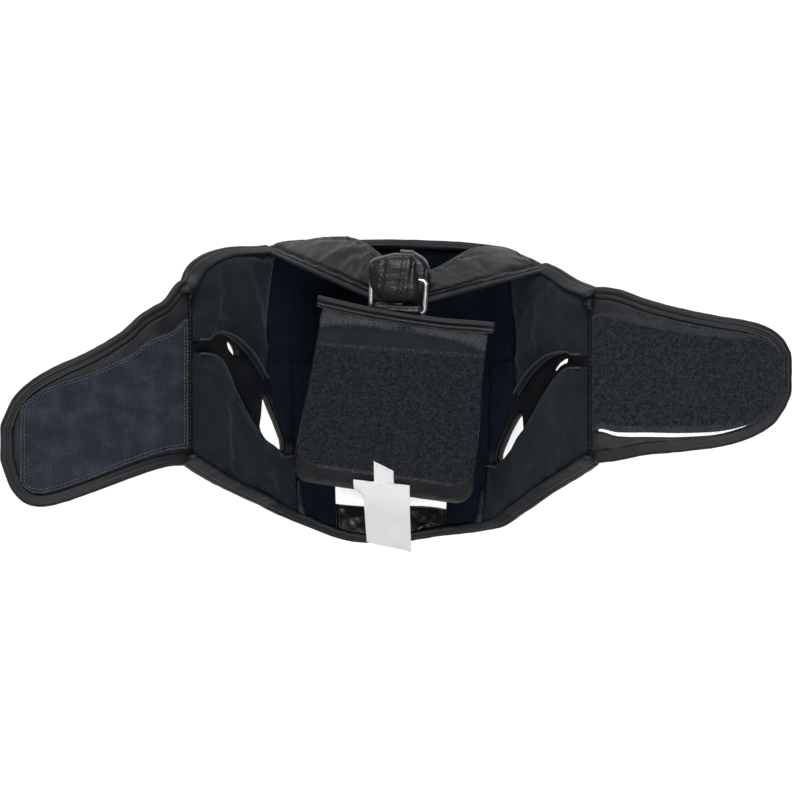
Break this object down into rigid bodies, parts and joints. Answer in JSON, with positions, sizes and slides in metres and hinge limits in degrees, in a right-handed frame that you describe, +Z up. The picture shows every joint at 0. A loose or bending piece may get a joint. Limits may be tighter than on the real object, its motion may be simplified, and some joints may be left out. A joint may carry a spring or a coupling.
{
  "type": "boxing headgear",
  "caption": "Open-backed padded leather boxing headgear lying on its face, with two rear wings, hook and loop tapes, crown bands, a metal ring and a back flap.",
  "frame": {"origin": "on the ground under the middle of the whole headgear as it lies on its face", "axes": "+X to the right-hand wing as seen from behind, +Y towards the crown, +Z up from the ground, out of the open back"},
  "size_m": [0.5886, 0.2714, 0.1958],
  "materials": {
    "leather": "semi-gloss grained black leather",
    "lining": "matt brushed black lining",
    "hook_tape": "woven hook tape",
    "loop_tape": "fuzzy loop pile",
    "webbing": "frayed woven webbing",
    "steel": "polished plated wire",
    "label": "blank white satin label"
  },
  "bodies": {
    "root": {"forehead_pad": "leather", "chin_pad": "leather", "chin_lining": "leather", "left_cheek_pad": "leather", "right_cheek_pad": "leather", "left_side_panel": "leather", "right_side_panel": "leather", "left_ear_binding": "leather", "right_ear_binding": "leather", "left_rim_binding": "leather", "crown_rim_binding": "leather", "right_rim_binding": "leather", "lower_rim_binding": "leather", "left_wing": "leather", "right_wing": "leather", "left_wing_binding": "leather", "right_wing_binding": "leather", "left_chin_tab": "leather", "right_chin_tab": "leather", "left_seam_tab": "leather", "right_seam_tab": "leather", "left_crown_band": "leather", "right_crown_band": "leather", "left_band_cord": "leather", "right_band_cord": "leather", "crown_keeper": "leather", "adjusting_strap": "leather", "back_flap": "leather", "flap_top_bar": "leather", "forehead_lining": "lining", "left_cheek_lining": "lining", "right_cheek_lining": "lining", "left_temple_lining": "lining", "right_temple_lining": "lining", "left_jaw_lining": "lining", "right_jaw_lining": "lining", "left_hook_tape": "hook_tape", "right_loop_panel": "loop_tape", "flap_loop_patch": "loop_tape", "flap_webbing": "webbing", "crown_ring": "steel", "care_label": "label"}
  },
  "joints": []
}
